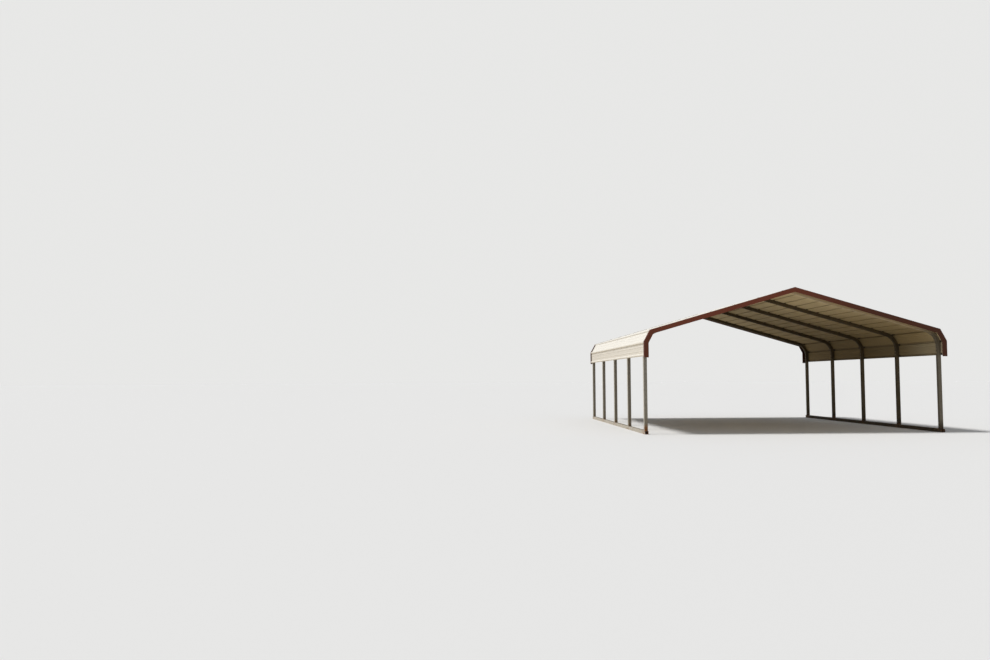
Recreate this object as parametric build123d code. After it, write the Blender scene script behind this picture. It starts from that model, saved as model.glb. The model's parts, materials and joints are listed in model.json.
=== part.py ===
"""An open steel carport with a rounded eave, 18 ft wide, on a frame that is 20 ft long.

Square tube bows stand on two base rails. Ribbed sheets lie along the length of the roof,
wrap both eaves and hang down as short side panels, and angle trim closes both gable ends.

X runs from left to right, Y from the front to the back and Z up. The origin is the middle
of the footprint at ground level. All sizes are in millimetres.
"""

import os
from math import atan, cos, degrees, radians, sin, sqrt, tan

from build123d import *

# Frame
frame_width = 5486.4  # over the outside of the legs
bow_count = 5
end_overhang = 203.2  # roof past the middle of an end bow
tube = 63.5  # outside of every square tube
tube_wall = 1.9
tube_corner = 2.5  # flat across each outside corner
leg_length = 1355.0
tail_length = 150.0  # straight end of a bow, below its bend
bend_radius = 279.4  # inside of the bow's bend
roof_slope = 16.08  # degrees above level
rail_overhang = 50.0  # rail past the face of an end leg

# Crimps that fold the inside of a bend
crimp_count = 6
crimp_depth = 5.0
crimp_width = 18.0

# Pins and sleeves inside the tubes
pin_clearance = 0.6
pin_wall = 1.9
pin_length = 150.0
swage_length = 140.0
swage_step = 3.0
sleeve_reach = 220.0

# Anchor holes, down through a base rail beside its end legs and its middle leg
anchor_hole = 14.3
anchor_offset = 130.0  # from the middle of a leg

# Roof sheets
roof_length = 6502.4
sheet_thickness = 0.4
pitches_per_sheet = 4
pitches_per_slope = 12  # rib pitches from the upper crease of the eave to the ridge
rib_height = 19.0
rib_base = 44.0
rib_top = 18.0
minor_height = 3.0
minor_base = 22.0
minor_top = 12.0
crease_angle = 28.0  # degrees, the turn at the lower crease of the eave
drop_length = 228.6  # side panel, from its lowest rib to the lower crease
sheet_gap = 0.3
lap_gap = 0.2

# Gable trim
trim_thickness = 0.5
trim_face = 84.0
trim_flange = 60.0
trim_hem = 12.0
trim_drop = 26.0  # below the lowest edge of the sheets
joint_gap = 0.3

# Places that follow from the sizes above
half_width = frame_width / 2
bow_spacing = (roof_length - 2 * end_overhang) / (bow_count - 1)
leg_x = half_width - tube / 2
leg_foot = tube
leg_head = leg_foot + leg_length
bend_start = leg_head + tail_length
centre_radius = bend_radius + tube / 2
bend_turn = 90.0 - roof_slope
bend_centre_x = leg_x - centre_radius
bow_places = [bow_spacing * (i - (bow_count - 1) / 2) for i in range(bow_count)]
rail_length = bow_spacing * (bow_count - 1) + tube + 2 * rail_overhang
anchor_places = [bow_places[0] + anchor_offset, anchor_offset, bow_places[-1] - anchor_offset]
bore = tube - 2 * tube_wall
pin = bore - 2 * pin_clearance


def section(width, corner=0.0):
    """A square section; the flat across each corner stands for its small radius."""
    square = Rectangle(width, width)
    return chamfer(square.vertices(), corner) if corner else square


def hollow(outside, wall, corner, height):
    """A square tube that stands on the ground plane."""
    return extrude(section(outside, corner) - section(outside - 2 * wall), height)


def base_rail(side):
    """One rail that lies along the ground, with its ends open and its anchor holes drilled."""
    rail = Rot(90, 0, 0) * hollow(tube, tube_wall, tube_corner, rail_length)
    rail = Pos(side * leg_x, rail_length / 2, tube / 2) * rail
    for place in anchor_places:
        rail -= Pos(side * leg_x, place, tube / 2) * Cylinder(anchor_hole / 2, 2 * tube)
    return rail


def rail_pins(side):
    """The short tubes on a rail that the legs slip over."""
    one = hollow(pin, pin_wall, tube_corner / 2, pin_length)
    return [Pos(side * leg_x, y, leg_foot) * one for y in bow_places]


def leg(side, place):
    """A leg, with its top end swaged down to enter the bow."""
    shaft = hollow(tube, tube_wall, tube_corner, leg_length)
    throat = section(pin - 2 * pin_wall)
    shoulder = extrude(section(tube, tube_corner) - throat, swage_step)
    neck = extrude(section(pin, tube_corner / 2) - throat, swage_step + swage_length)
    swage = Pos(0, 0, leg_length - swage_step) * (shoulder + neck)
    return Pos(side * leg_x, place, leg_foot) * (shaft + swage)


def bow_path():
    """Middle line of the right half of a bow, from its lower end to past the ridge."""
    low = Vector(leg_x, 0, leg_head)
    turn = Vector(leg_x, 0, bend_start)
    rise = Line(low, turn)
    frame = Plane(origin=(bend_centre_x, 0, bend_start), x_dir=(1, 0, 0), z_dir=(0, -1, 0))
    bend = frame * CenterArc((0, 0), centre_radius, 0, bend_turn)
    slope = Vector(-cos(radians(roof_slope)), 0, sin(radians(roof_slope)))
    top = bend @ 1
    run = (top.X + 2 * tube) / cos(radians(roof_slope))
    return Wire([rise, bend, Line(top, top + slope * run)])


def swept(width, corner=0.0):
    """A square section, swept along the bow's middle line."""
    foot = Plane(origin=(leg_x, 0, leg_head), x_dir=(0, 1, 0), z_dir=(0, 0, 1))
    return sweep(foot * section(width, corner), path=bow_path())


def bend_point(radius, angle):
    """A point of the bend, from its radius and its angle above level."""
    turn = radians(angle)
    return (bend_centre_x + radius * cos(turn), 0, bend_start + radius * sin(turn))


def crimp(depth, width):
    """Wedges across the inside of the bend, one for each crimp."""
    spread = degrees(width / 2 / bend_radius)
    step = bend_turn / crimp_count
    wedges = []
    for i in range(crimp_count):
        middle = step * (i + 0.5)
        mouth = bend_radius - crimp_depth
        corners = [
            bend_point(mouth, middle - spread),
            bend_point(bend_radius + depth, middle),
            bend_point(mouth, middle + spread),
        ]
        wedges.append(extrude(make_face(Polyline(*corners, close=True)), tube, both=True))
    return wedges


def right_bow():
    """The right half of a bow, with a crimped bend and a mitred upper end."""
    fold = crimp(crimp_depth + 1.5 * tube_wall, crimp_width + 3 * tube_wall)
    hole = swept(bore) - fold
    half = swept(tube, tube_corner) - hole - crimp(crimp_depth, crimp_width)
    beyond = Pos(joint_gap / 2 - frame_width / 2, 0, bend_start) * Box(
        frame_width, 2 * tube, 2 * frame_width
    )
    return half - beyond


def right_sleeve():
    """The right half of the sleeve that joins two bow halves inside the ridge."""
    slope = radians(roof_slope)
    top = Vector(*bend_point(centre_radius, bend_turn))
    ridge = Vector(0, 0, top.Z + top.X * tan(slope))
    outward = Vector(cos(slope), 0, -sin(slope))
    start = Plane(origin=ridge - outward * tube, x_dir=(0, 1, 0), z_dir=outward)
    walls = section(pin, tube_corner / 2) - section(pin - 2 * pin_wall)
    sleeve = extrude(start * walls, tube + sleeve_reach)
    beyond = Pos(-frame_width / 2, 0, ridge.Z) * Box(frame_width, 2 * tube, frame_width)
    return sleeve - beyond


def plus(point, along, out, a, b):
    """A point moved by a along one direction and by b along another."""
    return (point[0] + a * along[0] + b * out[0], point[1] + a * along[1] + b * out[1])


def direction(start, end):
    """The unit direction from one point to another."""
    dx, dz = end[0] - start[0], end[1] - start[1]
    length = sqrt(dx * dx + dz * dz)
    return (dx / length, dz / length)


def outward(along):
    """The outward side of a direction that runs up the right side and down the left."""
    return (along[1], -along[0])


def stations():
    """The place of every rib, on the inner face of the sheets, round the roof from right to left.

    The panels of the eave are tangents of the bend, so the two creases stand off the bow.
    """
    skin = bend_radius + tube + sheet_gap
    x = half_width + sheet_gap
    upper_turn = bend_turn - crease_angle
    lower = (x, bend_start + skin * tan(radians(crease_angle / 2)))
    panel = skin * (tan(radians(crease_angle / 2)) + tan(radians(upper_turn / 2)))
    crease = radians(crease_angle)
    upper = (lower[0] - panel * sin(crease), lower[1] + panel * cos(crease))
    foot = (x, lower[1] - drop_length)
    rise = upper[0] * tan(radians(roof_slope))
    right = [foot, lower]
    for i in range(pitches_per_slope + 1):
        share = i / pitches_per_slope
        right.append((upper[0] * (1 - share), upper[1] + rise * share))
    left = [(-px, pz) for px, pz in reversed(right[:-1])]
    return right + left


def rib(points, i, lift=0.0):
    """The four corners of rib i on the inner face of a sheet, raised by lift where it laps another."""
    last = len(points) - 1
    before = direction(points[max(i - 1, 0)], points[max(i, 1)])
    after = direction(points[min(i, last - 1)], points[min(i + 1, last)])
    flank = atan(rib_height / ((rib_base - rib_top) / 2))
    top = rib_top / 2 + lift * tan(flank / 2)
    base = rib_base / 2 + lift / sin(flank)
    here = points[i]
    return [
        plus(here, before, outward(before), -base, 0),
        plus(here, before, outward(before), -top, rib_height + lift),
        plus(here, after, outward(after), top, rib_height + lift),
        plus(here, after, outward(after), base, 0),
    ]


def free_edge(points, i, sign, lift):
    """The lower edge of a sheet, which stops just above the sheet that it laps."""
    flank = atan(rib_height / ((rib_base - rib_top) / 2))
    along = direction(points[i - 1], points[i]) if sign < 0 else direction(points[i], points[i + 1])
    return plus(points[i], along, outward(along), sign * (rib_base / 2 + lift * tan(flank / 2)), lift)


def minor_ribs(points, i):
    """The two low ribs on the panel between ribs i and i + 1."""
    along = direction(points[i], points[i + 1])
    out = outward(along)
    length = sqrt(sum((b - a) ** 2 for a, b in zip(points[i], points[i + 1])))
    corners = []
    for share in (1 / 3, 2 / 3):
        for offset, height in (
            (-minor_base / 2, 0),
            (-minor_top / 2, minor_height),
            (minor_top / 2, minor_height),
            (minor_base / 2, 0),
        ):
            corners.append(plus(points[i], along, out, length * share + offset, height))
    return corners


def offset(line, distance):
    """An open line of points moved outward, with mitred corners."""
    moved = []
    for i, point in enumerate(line):
        first = outward(direction(line[max(i - 1, 0)], line[max(i, 1)]))
        second = outward(direction(line[min(i, len(line) - 2)], line[min(i + 1, len(line) - 1)]))
        reach = distance / (1 + first[0] * second[0] + first[1] * second[1])
        moved.append((point[0] + reach * (first[0] + second[0]), point[1] + reach * (first[1] + second[1])))
    return moved


def band(line, low, high, front, back):
    """A solid strip between two offsets of a line, from one depth to another."""
    loop = offset(line, low) + offset(line, high)[::-1]
    corners = [(x, front, z) for x, z in loop]
    face = make_face(Polyline(*corners, close=True))
    return extrude(face, back - front, dir=(0, 1, 0))


def sheet(points, first, last, laps_first, laps_last):
    """One roof sheet between two ribs, laid over its neighbour at each end that laps."""
    lift = sheet_thickness + lap_gap
    line = []
    if laps_first:
        line.append(free_edge(points, first, -1, lift))
        line += rib(points, first, lift)[1:]
    else:
        line += rib(points, first)
    for i in range(first, last):
        line += minor_ribs(points, i)
        if i + 1 < last:
            line += rib(points, i + 1)
    if laps_last:
        line += rib(points, last, lift)[:-1]
        line.append(free_edge(points, last, 1, lift))
    else:
        line += rib(points, last)
    return band(line, 0, sheet_thickness, -roof_length / 2, roof_length / 2)


def right_trim(end):
    """Angle trim round the right half of a gable end; end is -1 at the front and 1 at the back."""
    points = stations()
    middle = len(points) // 2
    foot, lower, upper, ridge = points[0], points[1], points[2], points[middle]
    start = (foot[0], foot[1] - rib_base / 2 - trim_drop)
    beyond = (-ridge[1], ridge[1] + ridge[1] * tan(radians(roof_slope)))
    line = [start, lower, upper, beyond]
    high = rib_height + 2 * sheet_thickness + lap_gap + sheet_gap + trim_thickness
    low = high - trim_face
    edge = roof_length / 2 + joint_gap
    front = edge + trim_thickness
    strips = [
        band(line, low, high, -front, -edge),
        band(line, high - trim_thickness, high, -front, trim_flange - front),
        band(line, low, low + trim_thickness, -front, trim_hem - front),
    ]
    trim = strips[0] + strips[1] + strips[2]
    past = Pos(joint_gap / 2 - frame_width / 2, 0, ridge[1]) * Box(
        frame_width, 2 * roof_length, frame_width
    )
    trim -= past
    return trim if end < 0 else mirror(trim, about=Plane.XZ)


def roof_sheets():
    """Every roof sheet by name: the ridge sheet laps both slopes, and each sheet laps the one below."""
    points = stations()
    middle = len(points) // 2
    ridge_first = middle - pitches_per_sheet // 2
    sheets = {"roof_sheet_ridge": sheet(points, ridge_first, 2 * middle - ridge_first, True, True)}
    for number, first in enumerate(range(0, ridge_first, pitches_per_sheet), 1):
        last = min(first + pitches_per_sheet, ridge_first)
        right = sheet(points, first, last, first > 0, False)
        sheets[f"roof_sheet_right_{number}"] = right
        sheets[f"roof_sheet_left_{number}"] = mirror(right, about=Plane.YZ)
    return sheets


def carport():
    """Every piece of the carport by name."""
    pieces = {}
    bow = right_bow()
    left_bow = mirror(bow, about=Plane.YZ)
    sleeve = right_sleeve()
    sleeve += mirror(sleeve, about=Plane.YZ)
    pieces["ridge_sleeves"] = [Pos(0, y, 0) * sleeve for y in bow_places]
    for name, side, half in (("left", -1, left_bow), ("right", 1, bow)):
        pieces[f"base_rail_{name}"] = base_rail(side)
        pieces[f"rail_pins_{name}"] = rail_pins(side)
        for number, place in enumerate(bow_places, 1):
            pieces[f"leg_{name}_{number}"] = leg(side, place)
            pieces[f"bow_{name}_{number}"] = Pos(0, place, 0) * half
    pieces.update(roof_sheets())
    for end_name, end in (("front", -1), ("back", 1)):
        trim = right_trim(end)
        pieces[f"trim_{end_name}_right"] = trim
        pieces[f"trim_{end_name}_left"] = mirror(trim, about=Plane.YZ)
    return pieces


def main():
    os.makedirs("parts", exist_ok=True)
    for name, piece in carport().items():
        solids = piece if isinstance(piece, list) else piece.solids()
        export_step(Compound(children=list(solids)), f"parts/{name}.step")


main()
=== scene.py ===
import json
from math import cos, pi, radians, sin, tan

import bmesh
import bpy
from mathutils import Matrix, Vector


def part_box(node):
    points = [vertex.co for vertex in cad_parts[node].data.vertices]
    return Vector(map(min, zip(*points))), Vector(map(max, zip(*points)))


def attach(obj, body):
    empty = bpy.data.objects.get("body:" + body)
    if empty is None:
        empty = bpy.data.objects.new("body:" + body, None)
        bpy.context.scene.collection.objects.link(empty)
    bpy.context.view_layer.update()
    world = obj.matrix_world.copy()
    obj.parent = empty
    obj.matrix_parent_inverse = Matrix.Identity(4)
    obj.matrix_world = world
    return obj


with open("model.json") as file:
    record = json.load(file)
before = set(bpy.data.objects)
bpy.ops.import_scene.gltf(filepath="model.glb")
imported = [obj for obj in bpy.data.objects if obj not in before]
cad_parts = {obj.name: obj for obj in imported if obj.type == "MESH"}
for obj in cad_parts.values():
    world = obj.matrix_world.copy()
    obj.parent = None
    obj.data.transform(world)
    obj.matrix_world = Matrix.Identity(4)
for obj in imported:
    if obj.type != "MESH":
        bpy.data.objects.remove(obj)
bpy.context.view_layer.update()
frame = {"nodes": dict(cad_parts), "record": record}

# Sizes of the frame and the sheets, in metres, as the solids have them
HALF_WIDTH = 2.7432
TUBE = 0.0635
SHEET_SKIN = 0.0007  # from the face of a bow to the outer face of the sheet on it
BEND_RADIUS = 0.2794
BEND_START = 1.5685
SLOPE = radians(16.08)
CREASE = radians(28.0)
PITCHES = 12
DROP = 0.2286
RIB_HEIGHT = 0.019
BOW_SPACING = 1.524
BOWS = [BOW_SPACING * step for step in (-2, -1, 0, 1, 2)]
ROOF_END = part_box("roof_sheet_ridge")[1][1]

# Places of the screws, in metres
BESIDE_RIB = 0.043  # from the middle of a rib or a crease to the screw below it
LEG_SCREWS = (0.105, 0.165, 1.460, 1.515)  # heights, at the foot and then at the head of a leg
FOOT_SCREWS = LEG_SCREWS[:2]
SLEEVE_SCREWS = (0.07, 0.15)  # down the slope from the ridge
LAP_RIBS = (2, 6, 10)  # counted from the ridge
LAP_SHARES = (1 / 3, 2 / 3)  # of the way from one bow to the next
LAP_DEPTH = 0.0006  # upper sheet of a lap and the gap below it
TRIM_RIBS = range(1, PITCHES, 2)  # counted from the ridge
TRIM_DEPTH = 0.0014  # top of the trim's flange above the top of a rib
TRIM_SCREW_INSET = 0.030  # from the end of the roof
TRIM_CREASE_INSET = 0.015  # above the lower crease

# Shape of a screw, in metres
WASHER_RADIUS, WASHER_DEPTH = 0.0072, 0.0017
FLANGE_RADIUS, FLANGE_DEPTH, FLANGE_NARROWING = 0.0064, 0.0009, 0.0008
HEAD_RADIUS, HEAD_TOP, HEAD_NARROWING = 0.0046, 0.0045, 0.0003
ROUND_SIDES, HEX_SIDES = 12, 6
TURN_OF_NEXT = 2.4  # radians that each screw is turned past the one before it


# ---- The line of the roof, as seen from the front

def eave_points():
    """Lower crease, upper crease and ridge of the right half, on the outer face of the pans."""
    skin = BEND_RADIUS + TUBE + SHEET_SKIN
    x = HALF_WIDTH + SHEET_SKIN
    lower = Vector((x, 0, BEND_START + skin * tan(CREASE / 2)))
    panel = skin * (tan(CREASE / 2) + tan((pi / 2 - SLOPE - CREASE) / 2))
    upper = lower + Vector((-panel * sin(CREASE), 0, panel * cos(CREASE)))
    ridge = Vector((0, 0, upper.z + upper.x * tan(SLOPE)))
    return lower, upper, ridge


LOWER, UPPER, RIDGE = eave_points()
PITCH = (RIDGE - UPPER).length / PITCHES


def roof_place(side, start, end, distance, y):
    """A point and the outward direction on one flat run of the roof, from start towards end."""
    along = (end - start).normalized()
    point = start + along * distance
    out = Vector((-along.z, 0, along.x))
    if out.dot(point) < 0:
        out = -out
    return Vector((side * point.x, y, point.z)), Vector((side * out.x, 0, out.z))


# ---- Tools for the finishes

class Wire:
    """A value, colour or vector in a finish. Arithmetic on it adds Math nodes."""

    def __init__(self, finish, socket):
        self.finish = finish
        self.socket = socket

    def math(self, operation, *others, clamp=False):
        settings = {"operation": operation, "use_clamp": clamp}
        return self.finish.node("ShaderNodeMath", settings, dict(enumerate((self, *others))))

    def __add__(self, other):
        return self.math("ADD", other)

    __radd__ = __add__

    def __sub__(self, other):
        return self.math("SUBTRACT", other)

    def __rsub__(self, other):
        return self.finish.node("ShaderNodeMath", {"operation": "SUBTRACT"}, {0: other, 1: self})

    def __mul__(self, other):
        return self.math("MULTIPLY", other)

    __rmul__ = __mul__

    def __truediv__(self, other):
        return self.math("DIVIDE", other)

    def __abs__(self):
        return self.math("ABSOLUTE")

    def __gt__(self, other):
        return self.math("GREATER_THAN", other)

    def __lt__(self, other):
        return self.math("LESS_THAN", other)

    def __mod__(self, other):
        return self.math("FLOORED_MODULO", other)

    def sign(self):
        return self.math("SIGN")

    def clamped(self):
        return self.math("ADD", 0.0, clamp=True)

    def ramp(self, low_shade, lit_near_ridge):
        """0 below low, 1 above high, and smooth in between; low may lie above high."""
        settings = {"interpolation_type": "SMOOTHSTEP"}
        sockets = {"Value": self, "From Min": low_shade, "From Max": lit_near_ridge}
        return self.finish.node("ShaderNodeMapRange", settings, sockets)


def opaque(colour):
    """A colour as the socket of a Mix node takes it."""
    return colour if isinstance(colour, Wire) else (*colour, 1.0)


class Finish:
    """One procedural material, written as expressions on object coordinates."""

    def __init__(self, name, **fixed):
        self.material = bpy.data.materials.new(name)
        self.material.use_nodes = True
        self.tree = self.material.node_tree
        self.shader = self.tree.nodes["Principled BSDF"]
        for socket, value in fixed.items():
            self.shader.inputs[socket.replace("_", " ")].default_value = value
        self.place = self.node("ShaderNodeTexCoord", {}, {}, "Object")
        self.x, self.y, self.z = self.parts(self.place)

    def node(self, kind, settings, sockets, output=0):
        """Any node: its settings go first, then the values or links of its sockets."""
        made = self.tree.nodes.new(kind)
        for name, value in settings.items():
            setattr(made, name, value)
        for name, value in sockets.items():
            if isinstance(value, Wire):
                self.tree.links.new(value.socket, made.inputs[name])
            else:
                made.inputs[name].default_value = value
        return Wire(self, made.outputs[output])

    def parts(self, vector):
        """The three parts of a vector or a colour."""
        made = self.node("ShaderNodeSeparateXYZ", {}, {0: vector})
        return [Wire(self, socket) for socket in made.socket.node.outputs]

    def noise(self, scale, stretch=(1, 1, 1), detail=4.0, rough=0.55):
        """Even noise from 0 to 1; scale is in cells a metre, and stretch scales each axis."""
        place = self.node("ShaderNodeMapping", {}, {"Vector": self.place, "Scale": stretch})
        sockets = {"Vector": place, "Scale": scale, "Detail": detail, "Roughness": rough}
        return self.node("ShaderNodeTexNoise", {}, sockets)

    def cells(self, scale):
        """The three parts of an even random colour for each cell."""
        sockets = {"Vector": self.place, "Scale": scale}
        return self.parts(self.node("ShaderNodeTexVoronoi", {"feature": "F1"}, sockets, "Color"))

    def mix(self, factor, first, second, blend="MIX"):
        """A colour between two colours, or the second laid over the first in another blend."""
        settings = {"data_type": "RGBA", "blend_type": blend}
        sockets = {0: factor, 6: opaque(first), 7: opaque(second)}
        return self.node("ShaderNodeMix", settings, sockets, 2)

    def shade(self, colour, amount):
        """A colour made lighter or darker; amount is around 1."""
        grey = self.node("ShaderNodeCombineXYZ", {}, {0: amount, 1: amount, 2: amount})
        return self.mix(1.0, colour, grey, "MULTIPLY")

    def facing(self):
        """The three parts of the direction that the flat face looks in."""
        return self.parts(self.node("ShaderNodeNewGeometry", {}, {}, "True Normal"))

    def beside_bow(self):
        """Distance along the carport from the middle of the nearest bow."""
        return abs((self.y + BOW_SPACING / 2) % BOW_SPACING - BOW_SPACING / 2)

    def put(self, socket, value):
        self.tree.links.new(value.socket, self.shader.inputs[socket])

    def relief(self, height, depth):
        """Bump from a height of 0 to 1 that stands depth metres deep."""
        sockets = {"Height": height, "Distance": depth, "Strength": 1.0}
        self.put("Normal", self.node("ShaderNodeBump", {}, sockets))


def reach(first, second):
    """Length of a step of first one way and second the other."""
    return (first * first + second * second).math("SQRT")


# ---- Galvanised steel

# Zinc and bloom, each in a darker copy for painted shade and a paler copy for painted light
ZINC_SHADED, ZINC_LIT = (0.245, 0.235, 0.208), (0.60, 0.58, 0.53)
BLOOM_SHADED, BLOOM_LIT = (0.31, 0.295, 0.262), (0.66, 0.63, 0.57)
# Painted light on the front bow
ZINC_LIT_FRONT_BOW = (0.52, 0.425, 0.275)
# Painted shade, dark and thin
SHADE_DEEP, SHADE_THIN = (0.030, 0.0185, 0.0035), (0.068, 0.046, 0.013)
DUST = (0.24, 0.20, 0.138)
SPLASHED_SOIL = (0.155, 0.135, 0.096)
# Painted shade, partly damp soil, low on the right half
SHADE_AND_DAMP_SOIL = (0.022, 0.017, 0.010)
RUST, BRIGHT_RUST, FLAKED_RUST = (0.11, 0.045, 0.018), (0.42, 0.19, 0.07), (0.62, 0.33, 0.16)

SIDEWAYS = 0.6  # part of a face's direction along an axis, from which it counts as that side
WITHIN_WALL = 0.0012  # into the wall of a tube from its outer face
PAST_FRONT_BOW = (-2.99, -2.93)  # along the carport, from the front bow to just behind it


def inside_tube(finish):
    """1 on the inner walls of the base rails."""
    half = TUBE / 2 - WITHIN_WALL
    across = abs(abs(finish.x) - (HALF_WIDTH - TUBE / 2))
    return (across < half) * (finish.z < TUBE / 2 + half) * (finish.z > TUBE / 2 - half)


def rusted(finish, base, rough, metal, rust, flaked):
    """Adds rust to a finish where the mask is 1: brown and dull, and paler in loose flakes."""
    grain = finish.noise(60, detail=6)
    brown = finish.mix(grain.ramp(0.35, 0.65), RUST, BRIGHT_RUST)
    brown = finish.mix(flaked * 0.85, brown, FLAKED_RUST)
    finish.put("Base Color", finish.mix(rust, base, brown))
    finish.put("Roughness", rough + (0.92 - rough) * rust)
    finish.put("Metallic", metal * (1 - rust))


def galvanised_steel():
    """Zinc on square tube: spangle, bloom, painted light on the left, painted shade under the roof
    and on the right, soil at the feet, and rust.
    """
    finish = Finish("galvanised_steel", Specular_IOR_Level=0.4)
    from_bow = finish.beside_bow()
    look_x, look_y, _ = finish.facing()
    left, right = finish.x < 0, finish.x > 0
    behind = finish.y.ramp(*PAST_FRONT_BOW)

    # Painted light on the left-hand faces of the left half, and painted shade on the faces of the
    # right half that don't look right, less on those that look back
    lit_faces = left * (look_x < -SIDEWAYS)
    shaded_side = right * (look_x < SIDEWAYS) * (1 - 0.45 * (look_y > SIDEWAYS))
    shaded_inner_face = shaded_side * (look_x < -SIDEWAYS)

    # Zinc with spangle, runs and pale bloom, in a darker copy for painted shade and a paler copy
    # for painted light on the left-hand faces
    spangle = finish.cells(95)[0]
    coarse = finish.cells(38)[1]
    bloom = finish.noise(7, (1, 1, 0.45), 6).ramp(0.42, 0.68)
    runs = finish.noise(30, (1, 1, 0.06), 3).ramp(0.5, 0.8)
    tone = 0.76 + 0.30 * spangle + 0.16 * coarse - 0.14 * runs
    zinc = finish.shade(finish.mix(lit_faces, ZINC_SHADED, ZINC_LIT), tone)
    zinc = finish.mix(bloom * 0.35, zinc, finish.mix(lit_faces, BLOOM_SHADED, BLOOM_LIT))
    # Painted light on the front bow above its bend
    lit_front_bow = (1 - behind) * finish.z.ramp(1.72, 1.95)
    zinc = finish.mix(lit_front_bow * 0.85, zinc, ZINC_LIT_FRONT_BOW)

    # Painted shade under the roof, on the right half, and on the faces of the left half behind the
    # front bow that aren't lit
    roof_shade = finish.z.ramp(1.40, 1.80) * behind
    side_shade = shaded_side * (0.44 + 0.51 * behind) + 0.16 * shaded_inner_face * (1 - behind)
    side_shade = side_shade * (1 - lit_front_bow)
    left_shade_fading = 0.30 - 0.18 * finish.y.ramp(-1.6, 2.6)
    side_shade = side_shade + left * (1 - lit_faces) * behind * left_shade_fading
    painted_shade = roof_shade + side_shade * (1 - roof_shade)
    shade_film = finish.mix(finish.noise(11, detail=6).ramp(0.25, 0.75), SHADE_DEEP, SHADE_THIN)
    zinc = finish.mix(painted_shade * 0.90, zinc, shade_film)

    # Dust and soil near the ground, less dust on the shaded faces of the right half, and painted
    # shade, partly damp soil, low on the right half
    dust = finish.z.ramp(0.42, 0.0) * finish.noise(22, detail=6).ramp(0.30, 0.62)
    dust = dust * (1 - 0.8 * shaded_side)
    zinc = finish.mix(dust * (0.62 - 0.40 * lit_faces), zinc, DUST)
    splashed = finish.z.ramp(0.075, 0.058) * (1 - lit_faces) * 0.45
    zinc = finish.mix(splashed, zinc, SPLASHED_SOIL)
    zinc = finish.mix(shaded_side * finish.z.ramp(0.24, 0.10) * 0.8, zinc, SHADE_AND_DAMP_SOIL)

    # Rust at the feet, at the front rail ends, in specks and below the screws
    patch = finish.noise(26, detail=7, rough=0.7)
    near_leg = 0.25 + 0.75 * from_bow.ramp(0.32, 0.06)
    feet = finish.z.ramp(0.16, 0.055) * patch.ramp(0.48, 0.61) * near_leg
    ends = finish.y.ramp(-3.085, -3.125) * patch.ramp(0.30, 0.50) * (1 - 0.92 * right)
    front_foot = finish.z.ramp(0.20, 0.10) * finish.y.ramp(-2.9, -3.05) * left
    front = (ends + front_foot * patch.ramp(0.32, 0.48)) * (1 - 0.75 * lit_faces)
    specks = finish.noise(140, detail=2).ramp(0.735, 0.77) * 0.8
    weep = 0
    for height in LEG_SCREWS:
        above = finish.z - height
        ring = reach(from_bow, above).ramp(0.016, 0.006)
        tail = from_bow.ramp(0.006, 0.001) * (above < 0) * above.ramp(-0.06, -0.005)
        weep = weep + (ring + tail * 0.7) * patch.ramp(0.42, 0.60)
    rust = (feet * 0.8 + front + specks + weep).clamped()

    rough = 0.42 + 0.20 * bloom + 0.10 * spangle + 0.2 * dust + 0.34 * painted_shade
    metal = 0.24 - 0.12 * bloom - 0.16 * dust - 0.22 * painted_shade
    rough = rough.math("MINIMUM", 0.92)
    rusted(finish, zinc, rough, metal.clamped(), rust, inside_tube(finish))
    finish.relief(spangle * 0.35 + rust * patch, 0.0006)
    return finish.material


# ---- White sheet

WHITE = (0.905, 0.892, 0.850)
ROOF_FILM = (0.50, 0.475, 0.42)
HELD_DIRT = (0.42, 0.37, 0.29)
LODGED_DIRT = (0.36, 0.325, 0.265)
STREAK = (0.50, 0.45, 0.37)
SCREW_GRIME = (0.25, 0.20, 0.15)
SCREW_RUST = (0.36, 0.17, 0.075)
# Painted shade on the side panels
PANEL_SHADE = (0.44, 0.33, 0.18)
EDGE_DIRT = (0.34, 0.22, 0.13)
# Shaded and lit copies of the back coat, for painted light near the ridge
BACK_COAT_SHADED, BACK_COAT_LIT = (0.40, 0.325, 0.19), (0.75, 0.665, 0.465)
BACK_COAT_DROP = (0.40, 0.366, 0.280)
# Painted light at the front gable
BACK_COAT_LIT_AT_GABLE = (0.83, 0.77, 0.61)
DAMP = (0.34, 0.275, 0.17)
COBWEB = (0.27, 0.23, 0.16)
# Painted shade further in under the roof
BACK_SHADE = (0.205, 0.160, 0.085)
# Painted shade in the hollows of the ribs, darkest where they pass over a bow
RIB_HOLLOW_SHADE, HOLLOW_SHADE_OVER_BOW = (0.12, 0.095, 0.058), (0.035, 0.026, 0.015)

PAST_CREASE = 0.002  # height above a crease from which the next run of the sheet starts


def outer_side(finish, look_x, look_z, slope, facet, drop):
    """1 on the outer face of a sheet and 0 on its inner face, from the way that the face looks."""
    across = slope * sin(SLOPE) + facet * cos(CREASE) + drop
    up = slope * cos(SLOPE) + facet * sin(CREASE)
    return (look_x * finish.x.sign() * across + look_z * up) > -0.001


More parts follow.
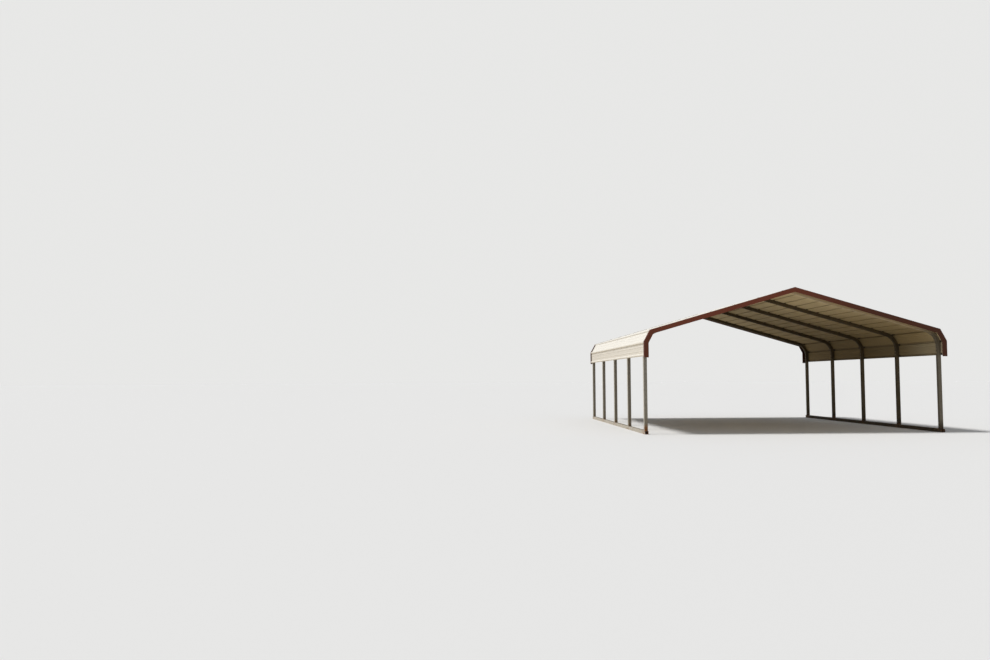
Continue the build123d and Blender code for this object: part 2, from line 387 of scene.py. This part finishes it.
def white_sheet():
    """Baked white paint outside and a beige back coat inside, with dirt held against the ribs."""
    finish = Finish("white_sheet", Coat_Roughness=0.4, Specular_IOR_Level=0.25)
    from_bow = finish.beside_bow()
    look_x, _, look_z = finish.facing()

    # The three flat runs of the roof, and the distance down each from the rib or crease above
    slope = finish.z > UPPER.z + PAST_CREASE
    facet = (finish.z > LOWER.z + PAST_CREASE) * (1 - slope)
    drop = 1 - slope - facet
    past_rib = slope * ((abs(finish.x) / cos(SLOPE)) % PITCH)
    past_rib = past_rib + facet * ((UPPER.z - finish.z) / cos(CREASE))
    past_rib = past_rib + drop * (LOWER.z - finish.z)
    outer = outer_side(finish, look_x, look_z, slope, facet, drop)

    # Outside: a film on the slopes, thinner on the flanks of the ribs that look down the slope as
    # a painted highlight, and dirt that the ribs hold
    cloud = finish.noise(1.6, (1, 0.5, 1), 5)
    fine = finish.noise(260, detail=3)
    paint = finish.shade(WHITE, 0.955 + 0.05 * cloud + 0.03 * fine)
    lit_faces = (look_x * finish.x.sign()) > 0.5
    paint = finish.mix(slope * (1 - 0.85 * lit_faces) * (0.20 + 0.16 * cloud), paint, ROOF_FILM)
    held = past_rib.ramp(0.155, 0.205) * finish.noise(9, (1.0, 0.35, 1), 6).ramp(0.38, 0.66)
    paint = finish.mix(held * slope * 0.36, paint, HELD_DIRT)
    lodged = past_rib.ramp(PITCH - 0.038, PITCH - 0.025)
    lodged = lodged * past_rib.ramp(PITCH - 0.007, PITCH - 0.012)
    paint = finish.mix(lodged * slope * (0.24 + 0.30 * cloud), paint, LODGED_DIRT)
    streak = finish.noise(34, (0.10, 1, 0.10), 5).ramp(0.50, 0.72)
    paint = finish.mix(streak * (0.12 - 0.07 * slope), paint, STREAK)

    # Grime round each screw, and rust that weeps from some
    below_screw = past_rib - BESIDE_RIB
    grime = reach(from_bow, below_screw).ramp(0.017, 0.007)
    paint = finish.mix(grime * 0.30, paint, SCREW_GRIME)
    weep = from_bow.ramp(0.009, 0.001) * (below_screw > 0) * below_screw.ramp(0.13, 0.0)
    weep = weep * finish.noise(5, detail=2).ramp(0.44, 0.60)
    paint = finish.mix(weep * 0.42, paint, SCREW_RUST)

    # Painted shade on the side panels, darker towards the back end, less on their lowest rib as a
    # painted highlight, and dirt on their lower edge
    lit_lowest_rib = finish.z.ramp(1.449, 1.441)
    darker_to_back = drop * finish.y.ramp(-3.2, 3.2) * (0.7 + 0.5 * cloud)
    panel_shade = (0.15 * drop + darker_to_back * 0.10) * (1 - 0.85 * lit_lowest_rib)
    paint = finish.mix(panel_shade, paint, PANEL_SHADE)
    lower_edge = finish.z.ramp(1.4095, 1.4035)
    paint = finish.mix(lower_edge * streak * 0.6, paint, EDGE_DIRT)

    # Inside: painted light near the ridge and the front gable, and painted shade further back and
    # in the hollows of the ribs
    lit_near_ridge = abs(finish.x).ramp(2.1, 0.2)
    back = finish.mix(lit_near_ridge, BACK_COAT_SHADED, BACK_COAT_LIT)
    back = finish.mix(drop, back, BACK_COAT_DROP)
    back = finish.shade(back, 0.90 + 0.14 * cloud + 0.05 * fine)
    damp = finish.noise(3.2, (1, 0.7, 1), 6).ramp(0.48, 0.74)
    back = finish.mix(damp * 0.22, back, DAMP)
    cobweb = finish.noise(48, (1, 0.5, 1), 6).ramp(0.56, 0.76)
    back = finish.mix(cobweb * 0.16, back, COBWEB)
    # Painted shade, deeper towards the back, and on the inner faces of the facets and side panels
    # behind the front
    deep_shade = finish.y.ramp(-1.7, 1.2) * 0.52
    deep_shade = deep_shade + finish.y.ramp(-2.7, -1.45) * (0.45 * facet + 0.80 * drop)
    back = finish.mix(deep_shade.clamped(), back, BACK_SHADE)
    # Painted shade in the hollows of the ribs, darkest over a bow
    hollow_shade = past_rib.ramp(0.023, 0.019) + past_rib.ramp(PITCH - 0.023, PITCH - 0.019)
    hollow_shade = hollow_shade.clamped()
    back = finish.mix(hollow_shade * 0.42, back, RIB_HOLLOW_SHADE)
    back = finish.mix(hollow_shade * from_bow.ramp(0.085, 0.040) * 0.75, back, HOLLOW_SHADE_OVER_BOW)
    # Painted light near the front gable, most near the ridge, and along the front edge below the
    # upper crease
    lit_near_gable = finish.y.ramp(-2.2, -3.25) * (0.36 + 0.64 * lit_near_ridge)
    lit_front_edge = finish.y.ramp(-3.07, -3.10) * (finish.z < UPPER.z) * 0.30
    back = finish.mix(lit_near_gable * 0.60 + lit_front_edge, back, BACK_COAT_LIT_AT_GABLE)

    finish.put("Base Color", finish.mix(outer, back, paint))
    gloss = outer * (0.40 - 0.20 * held - 0.10 * streak)
    finish.put("Roughness", 0.78 + 0.08 * cloud - gloss)
    finish.put("Coat Weight", outer * (0.10 - 0.08 * held))
    buckle = finish.noise(1.5, (1.2, 1, 1.2), 1)
    finish.relief(buckle * 0.92 + fine * 0.08, 0.0045)
    return finish.material


# ---- Burgundy trim

BURGUNDY = (0.182, 0.046, 0.0245)
TRIM_RUN = (0.075, 0.026, 0.016)
TRIM_CHALK = (0.20, 0.082, 0.062)
# Painted shade
TRIM_SHADE = (0.042, 0.016, 0.006)
TRIM_SCUFF = (0.27, 0.13, 0.10)


def burgundy_trim():
    """Baked burgundy paint, a little chalky, with runs, pale scuffs, and painted shade low down
    and on the right.
    """
    finish = Finish("burgundy_trim", Coat_Roughness=0.3, Specular_IOR_Level=0.2)
    cloud = finish.noise(4, detail=5)
    fine = finish.noise(300, detail=3)
    chalk = finish.noise(18, (1, 1, 0.5), 6).ramp(0.44, 0.72)
    scuff = finish.noise(75, (0.25, 1, 1), 5).ramp(0.66, 0.74)
    runs = finish.noise(60, (1, 1, 0.07), 4).ramp(0.52, 0.70)
    # Painted shade, deeper low down and towards the right
    low_shade = finish.z.ramp(1.98, 1.60) * 0.42
    right_shade = finish.x.ramp(-0.4, 1.6)
    shade_film = (low_shade + 0.70 * right_shade).math("MINIMUM", 0.78)
    paint = finish.shade(BURGUNDY, 0.84 + 0.22 * cloud + 0.12 * fine)
    paint = finish.mix(runs * 0.25, paint, TRIM_RUN)
    paint = finish.mix(chalk * 0.22, paint, TRIM_CHALK)
    paint = finish.mix(shade_film, paint, TRIM_SHADE)
    paint = finish.mix(scuff * 0.30 * (1 - 0.5 * right_shade), paint, TRIM_SCUFF)
    finish.put("Base Color", paint)
    finish.put("Roughness", 0.44 + 0.22 * chalk + 0.12 * scuff)
    finish.put("Coat Weight", (0.10 - 0.09 * chalk) * (1 - 0.8 * right_shade))
    finish.relief(fine * 0.3 + cloud * 0.7, 0.0012)
    return finish.material


# ---- Screw heads and washers

WORN_HEAD = (0.30, 0.25, 0.20)
RUBBER, GREYED_RUBBER = (0.028, 0.028, 0.029), (0.095, 0.092, 0.088)


def head_paint(name, colour, roughness):
    """Paint or plating on screw heads, worn on some of them."""
    finish = Finish(name)
    worn = finish.noise(9, detail=2).ramp(0.50, 0.66)
    fine = finish.noise(420, detail=4)
    paint = finish.shade(colour, 0.9 + 0.2 * fine)
    finish.put("Base Color", finish.mix(worn * fine * 0.9, paint, WORN_HEAD))
    finish.put("Roughness", roughness + 0.25 * worn)
    finish.relief(fine, 0.0004)
    return finish.material


def rubber_washer():
    """The soft black washer under a screw head, greyed by the weather."""
    finish = Finish("rubber_washer")
    fine = finish.noise(380, detail=4)
    finish.put("Base Color", finish.mix(fine.ramp(0.3, 0.8), RUBBER, GREYED_RUBBER))
    finish.put("Roughness", 0.65 + 0.25 * fine)
    finish.relief(fine, 0.0003)
    return finish.material


STEEL = galvanised_steel()
SHEET = white_sheet()
TRIM = burgundy_trim()
WASHER = rubber_washer()
WHITE_HEAD = head_paint("white_screw_head", (0.74, 0.725, 0.69), 0.42)
BURGUNDY_HEAD = head_paint("burgundy_screw_head", (0.15, 0.034, 0.030), 0.42)
ZINC_HEAD = head_paint("zinc_screw_head", (0.52, 0.52, 0.50), 0.38)

FINISH_OF_SLOT = {"galvanised_steel": STEEL, "white_sheet": SHEET, "burgundy_trim": TRIM}
for entry in frame["record"]["subparts"]:
    node = frame["nodes"][entry["node"]]
    for slot in node.material_slots:
        slot.material = FINISH_OF_SLOT[entry["material_slot"]]


# ---- Screws

def turned_disc(shape, radius, bottom, top, sides, narrowing=0.0):
    """A short many-sided disc between two heights, narrower at its top, with no lower face."""
    made = bmesh.ops.create_circle(
        shape, cap_ends=True, segments=sides, radius=radius,
        matrix=Matrix.Translation((0, 0, bottom)),
    )
    face = made["verts"][0].link_faces[0]
    raised = bmesh.ops.extrude_face_region(shape, geom=[face])["geom"]
    verts = [item for item in raised if isinstance(item, bmesh.types.BMVert)]
    bmesh.ops.translate(shape, verts=verts, vec=(0, 0, top - bottom))
    share = 1 - narrowing / radius
    bmesh.ops.scale(shape, verts=verts, vec=(share, share, 1))
    bmesh.ops.delete(shape, geom=[face], context="FACES_ONLY")


def hex_screw(shape, washer):
    """A hex head on its flange, and a soft washer below where the screw seals a sheet."""
    seat = 0.0
    if washer:
        turned_disc(shape, WASHER_RADIUS, 0.0, WASHER_DEPTH, ROUND_SIDES)
        for face in shape.faces:
            face.material_index = 1
        seat = WASHER_DEPTH
    flange_top = seat + FLANGE_DEPTH
    turned_disc(shape, FLANGE_RADIUS, seat, flange_top, ROUND_SIDES, FLANGE_NARROWING)
    turned_disc(shape, HEAD_RADIUS, flange_top, seat + HEAD_TOP, HEX_SIDES, HEAD_NARROWING)


def screws(name, places, finish, washer=True):
    """One joined mesh of all the screws of a kind; a place is a point and an outward direction."""
    one = bmesh.new()
    hex_screw(one, washer)
    pattern = bpy.data.meshes.new(name + "_pattern")
    one.to_mesh(pattern)
    one.free()
    joined = bmesh.new()
    for number, (point, out) in enumerate(places):
        first = len(joined.verts)
        joined.from_mesh(pattern)
        joined.verts.ensure_lookup_table()
        turn = Matrix.Rotation(number * TURN_OF_NEXT, 4, "Z")
        upright = out.to_track_quat("Z", "Y").to_matrix().to_4x4()
        matrix = Matrix.Translation(point) @ upright @ turn
        bmesh.ops.transform(joined, verts=joined.verts[first:], matrix=matrix)
    bmesh.ops.recalc_face_normals(joined, faces=joined.faces)
    mesh = bpy.data.meshes.new(name)
    joined.to_mesh(mesh)
    joined.free()
    bpy.data.meshes.remove(pattern)
    mesh.materials.append(finish)
    if washer:
        mesh.materials.append(WASHER)
    piece = bpy.data.objects.new(name, mesh)
    bpy.context.scene.collection.objects.link(piece)
    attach(piece, "root")


def roof_screw_places():
    """Beside every rib and crease at every bow, on the side where the water leaves."""
    places = []
    foot = LOWER - Vector((0, 0, DROP))
    for side in (-1, 1):
        for y in BOWS:
            for rib in range(PITCHES):
                places.append(roof_place(side, RIDGE, UPPER, rib * PITCH + BESIDE_RIB, y))
            places.append(roof_place(side, UPPER, LOWER, BESIDE_RIB, y))
            places.append(roof_place(side, LOWER, foot, BESIDE_RIB, y))
    return places


def lap_screw_places():
    """Along the top of every rib where two sheets lap, twice in each bay."""
    places = []
    for side in (-1, 1):
        for rib in LAP_RIBS:
            for near, far in zip(BOWS, BOWS[1:]):
                for share in LAP_SHARES:
                    y = near + (far - near) * share
                    point, out = roof_place(side, RIDGE, UPPER, rib * PITCH, y)
                    places.append((point + out * (RIB_HEIGHT + LAP_DEPTH), out))
    return places


def trim_screw_places():
    """Through the flange of the gable trim, into every other rib and near the lower crease."""
    places = []
    crease = (LOWER - UPPER).length - TRIM_CREASE_INSET
    for side in (-1, 1):
        for y in (TRIM_SCREW_INSET - ROOF_END, ROOF_END - TRIM_SCREW_INSET):
            row = [roof_place(side, RIDGE, UPPER, rib * PITCH, y) for rib in TRIM_RIBS]
            row.append(roof_place(side, UPPER, LOWER, crease, y))
            places += [(point + out * (RIB_HEIGHT + TRIM_DEPTH), out) for point, out in row]
    return places


def frame_screw_places():
    """On each leg, on its inner face and at the foot of its outer face, and under the sleeves."""
    places = []
    for side in (-1, 1):
        inner = side * (HALF_WIDTH - TUBE)
        outer = side * HALF_WIDTH
        along = Vector((side * cos(SLOPE), 0, -sin(SLOPE)))
        down = Vector((-side * sin(SLOPE), 0, -cos(SLOPE)))
        for y in BOWS:
            places += [(Vector((inner, y, z)), Vector((-side, 0, 0))) for z in LEG_SCREWS]
            places += [(Vector((outer, y, z)), Vector((side, 0, 0))) for z in FOOT_SCREWS]
            under = Vector((0, y, RIDGE.z - (TUBE + SHEET_SKIN) / cos(SLOPE)))
            places += [(under + along * step, down) for step in SLEEVE_SCREWS]
    return places


screws("roof_screws", roof_screw_places(), WHITE_HEAD)
screws("lap_screws", lap_screw_places(), WHITE_HEAD)
screws("trim_screws", trim_screw_places(), BURGUNDY_HEAD)
screws("frame_screws", frame_screw_places(), ZINC_HEAD, washer=False)


# ---- Floor, backdrop, light and camera

FLOOR_RADIUS, FLOOR_SIDES = 300, 96
FLOOR_SEEN = (0.808, 0.824, 0.848)
FLOOR_BOUNCE = (0.64, 0.56, 0.43)
SKY_LIGHT = (0.29, 0.29, 0.29)
BACKDROP = (0.804, 0.804, 0.795)
SEEN_RAYS = ("Is Camera Ray", "Is Glossy Ray", "Is Transmission Ray")

LAMP_ENERGY = 2.52
LAMP_SPREAD = radians(12)
LAMP_COLOUR = (1.0, 0.97, 0.92)
LAMP_FROM = Vector((-0.50, 0.0, 0.866))

# The camera that fits the photograph's points
CAMERA_PLACE = (-6.010, -18.651, 0.991)
CAMERA_YAW, CAMERA_PITCH, CAMERA_ROLL = radians(2.164), radians(3.283), radians(-0.279)
FOCAL_PX = 868.4
PHOTO_WIDTH_PX = 990
SENSOR_MM = 36.0
CLIP_END = 500


def studio_floor():
    """A wide flat floor: pale where it is seen or mirrored, and darker as bounced light."""
    finish = Finish("studio_floor", Roughness=0.9, Specular_IOR_Level=0.1)
    seen = 0
    for ray in SEEN_RAYS:
        seen = seen + finish.node("ShaderNodeLightPath", {}, {}, ray)
    finish.put("Base Color", finish.mix(seen.clamped(), FLOOR_BOUNCE, FLOOR_SEEN))
    shape = bmesh.new()
    bmesh.ops.create_circle(shape, cap_ends=True, segments=FLOOR_SIDES, radius=FLOOR_RADIUS)
    mesh = bpy.data.meshes.new("studio_floor")
    shape.to_mesh(mesh)
    shape.free()
    mesh.materials.append(finish.material)
    floor = bpy.data.objects.new("studio_floor", mesh)
    bpy.context.scene.collection.objects.link(floor)


def studio_world():
    """An even surround: pale where it is seen or mirrored, and dimmer as light."""
    world = bpy.data.worlds.new("studio_world")
    world.use_nodes = True
    tree = world.node_tree
    path = tree.nodes.new("ShaderNodeLightPath")
    seen = path.outputs[SEEN_RAYS[0]]
    for ray in SEEN_RAYS[1:]:
        either = tree.nodes.new("ShaderNodeMath")
        either.operation = "MAXIMUM"
        tree.links.new(seen, either.inputs[0])
        tree.links.new(path.outputs[ray], either.inputs[1])
        seen = either.outputs[0]
    mix = tree.nodes.new("ShaderNodeMix")
    mix.data_type = "RGBA"
    mix.inputs[6].default_value = (*SKY_LIGHT, 1)
    mix.inputs[7].default_value = (*BACKDROP, 1)
    tree.links.new(seen, mix.inputs[0])
    tree.links.new(mix.outputs[2], tree.nodes["Background"].inputs["Color"])
    bpy.context.scene.world = world


def key_lamp():
    """One wide soft lamp, high on the left, which leaves the gable in shade."""
    lamp = bpy.data.lights.new("key_lamp", "SUN")
    lamp.energy = LAMP_ENERGY
    lamp.angle = LAMP_SPREAD
    lamp.color = LAMP_COLOUR
    holder = bpy.data.objects.new("key_lamp", lamp)
    holder.rotation_euler = LAMP_FROM.to_track_quat("Z", "Y").to_euler()
    bpy.context.scene.collection.objects.link(holder)


def photo_camera():
    """The camera of the photograph: its place, turn and lens."""
    data = bpy.data.cameras.new("photo_camera")
    data.sensor_width = SENSOR_MM
    data.lens = FOCAL_PX / PHOTO_WIDTH_PX * SENSOR_MM
    data.clip_end = CLIP_END
    level_x, level_y = sin(CAMERA_YAW), cos(CAMERA_YAW)
    lift = cos(CAMERA_PITCH)
    forward = Vector((level_x * lift, level_y * lift, sin(CAMERA_PITCH)))
    right = Vector((level_y, -level_x, 0))
    up = right.cross(forward)
    level = Matrix((right, up, -forward)).transposed()
    turned = level @ Matrix.Rotation(CAMERA_ROLL, 3, "Z")
    camera = bpy.data.objects.new("photo_camera", data)
    camera.location = CAMERA_PLACE
    camera.rotation_euler = turned.to_euler()
    bpy.context.scene.collection.objects.link(camera)
    bpy.context.scene.camera = camera


studio_floor()
studio_world()
key_lamp()
photo_camera()
bpy.context.scene.view_settings.view_transform = "Standard"
